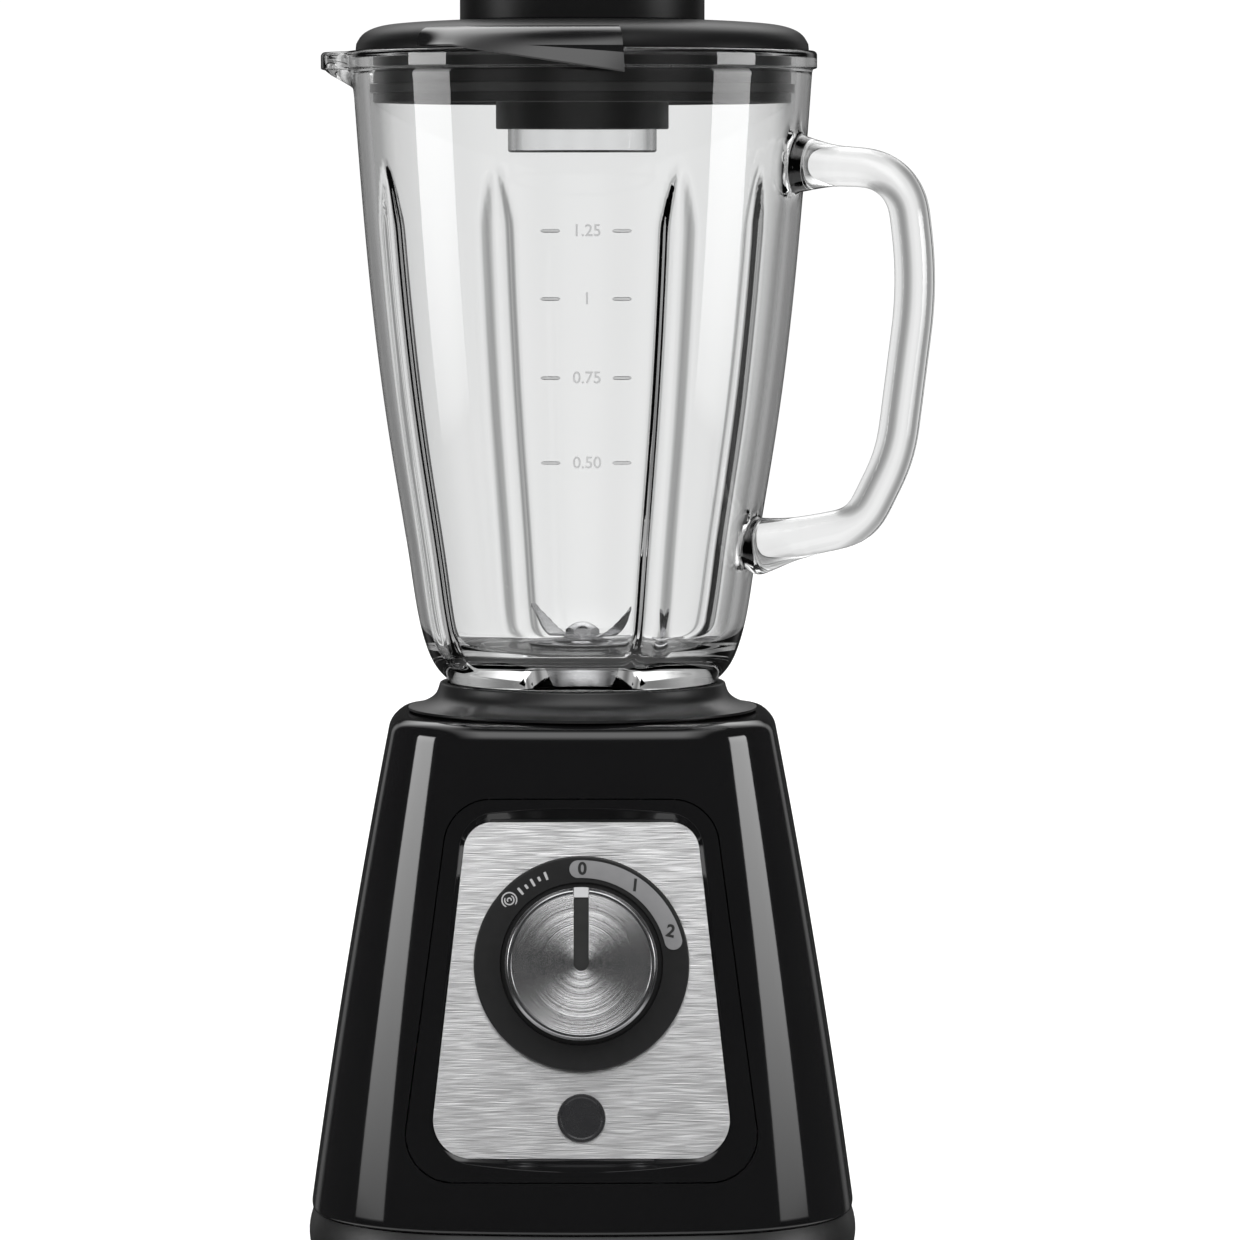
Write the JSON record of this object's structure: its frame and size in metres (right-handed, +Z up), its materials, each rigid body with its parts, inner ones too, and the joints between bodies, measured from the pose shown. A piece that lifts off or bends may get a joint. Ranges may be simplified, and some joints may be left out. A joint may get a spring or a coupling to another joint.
{
  "type": "countertop blender",
  "caption": "Countertop blender: tapered black motor base with steel dial panel, clear glass jug with handle and spout, blades, lid and measuring cap.",
  "frame": {"origin": "on the table, under the motor's axis, in the plane of the rubber foot ring", "axes": "+Z up along the motor axis; the control panel faces -Y; +X is to the right seen from the front"},
  "size_m": [0.1986, 0.1578, 0.424],
  "materials": {
    "casing": "deep black, polished",
    "tray": "fine matt black",
    "foot_rubber": "matt",
    "screws": "zinc plated",
    "panel_steel": "brushed across",
    "badge_black": "satin black",
    "dial_black": "dark satin",
    "scale_grey": "grey print",
    "knob_steel": "spun face",
    "knob_rim": "satin chromed",
    "pointer_black": "matt",
    "index_clear": "milky",
    "switch_plastic": "moulded",
    "seat_plastic": "matt black",
    "spring_steel": "drawn wire",
    "coupling_plastic": "glass-filled",
    "shaft_steel": "ground",
    "core_steel": "laminated",
    "copper_wire": "enamelled copper",
    "copper_bars": "turned copper",
    "fan_plastic": "grey nylon",
    "bracket_alloy": "die cast",
    "brass_tube": "drawn",
    "carbon": "carbon",
    "board": "solder resist",
    "capacitor_case": "moulded",
    "jug_glass": "clear pressed glass",
    "collar_black": "fine matt black",
    "seal_rubber": "silicone",
    "carrier_steel": "satin stainless",
    "bush_bronze": "sintered",
    "blade_steel": "ground stainless",
    "lid_black": "fine matt black",
    "cup_clear": "clear plastic"
  },
  "bodies": {
    "base": {"motor_housing": "casing", "control_bezel": "casing", "base_tray": "tray", "fan_shroud": "tray", "foot_ring": "foot_rubber", "motor_mounts": "foot_rubber", "cord_inlet": "foot_rubber", "base_screws": "screws", "frame_screws": "screws", "mount_screws": "screws", "control_plate": "panel_steel", "badge": "badge_black", "dial_ring": "dial_black", "speed_scale": "scale_grey", "speed_switch": "switch_plastic", "interlock_switch": "switch_plastic", "seat_plate": "seat_plastic", "interlock_spring": "spring_steel", "brush_springs": "spring_steel", "upper_bearing": "shaft_steel", "lower_bearing": "shaft_steel", "stator_core": "core_steel", "field_coils": "copper_wire", "upper_bracket": "bracket_alloy", "lower_bracket": "bracket_alloy", "brush_holders": "brass_tube", "carbon_brushes": "carbon", "circuit_board": "board", "filter_capacitor": "capacitor_case"},
    "motor": {"motor_shaft": "shaft_steel", "motor_coupling": "coupling_plastic", "armature_core": "core_steel", "armature_windings": "copper_wire", "commutator": "copper_bars", "cooling_fan": "fan_plastic"},
    "speed_knob": {"knob_body": "knob_rim", "knob_face": "knob_steel", "knob_pointer": "pointer_black", "knob_index": "index_clear", "knob_spindle": "switch_plastic"},
    "safety_pin": {"interlock_pin": "seat_plastic"},
    "jug": {"glass_jug": "jug_glass", "jug_collar": "collar_black", "blade_gasket": "seal_rubber", "blade_carrier": "carrier_steel", "carrier_nut": "collar_black", "blade_bush": "bush_bronze", "shaft_seal": "seal_rubber"},
    "blades": {"blade_shaft": "shaft_steel", "thrust_washer": "shaft_steel", "jug_coupling": "coupling_plastic", "lower_blade": "blade_steel", "blade_spacer": "blade_steel", "upper_blade": "blade_steel", "blade_cap_nut": "blade_steel"},
    "lid_assembly": {"lid": "lid_black", "lid_seal": "seal_rubber"},
    "filler_cap": {"cap_cover": "lid_black", "measuring_cup": "cup_clear"}
  },
  "joints": [
    {"name": "jug_lift", "type": "slide", "parent": "base", "child": "jug", "axis": [0, 0, 1], "range_m": [0, 0.06]},
    {"name": "lid_lift", "type": "slide", "parent": "jug", "child": "lid_assembly", "axis": [0, 0, 1], "range_m": [0, 0.04]},
    {"name": "cap_lift", "type": "slide", "parent": "lid_assembly", "child": "filler_cap", "axis": [0, 0, 1], "range_m": [0, 0.05]},
    {"name": "knob_turn", "type": "hinge", "parent": "base", "child": "speed_knob", "pos_m": [0, -0.063, 0.1045], "axis": [0, -0.9925, 0.1219], "range_deg": [-70, 35]},
    {"name": "motor_spin", "type": "hinge", "parent": "base", "child": "motor", "pos_m": [0, 0, 0.1], "axis": [0, 0, 1], "continuous": true},
    {"name": "blade_spin", "type": "hinge", "parent": "jug", "child": "blades", "pos_m": [0, 0, 0.19], "axis": [0, 0, 1], "continuous": true},
    {"name": "safety_pin_slide", "type": "slide", "parent": "base", "child": "safety_pin", "axis": [0, 0, 1], "range_m": [0, 0.003]}
  ],
  "couplings": [
    {"joint": "blade_spin", "follows": "motor_spin", "ratio": 1},
    {"joint": "safety_pin_slide", "follows": "jug_lift", "ratio": 0.05}
  ]
}
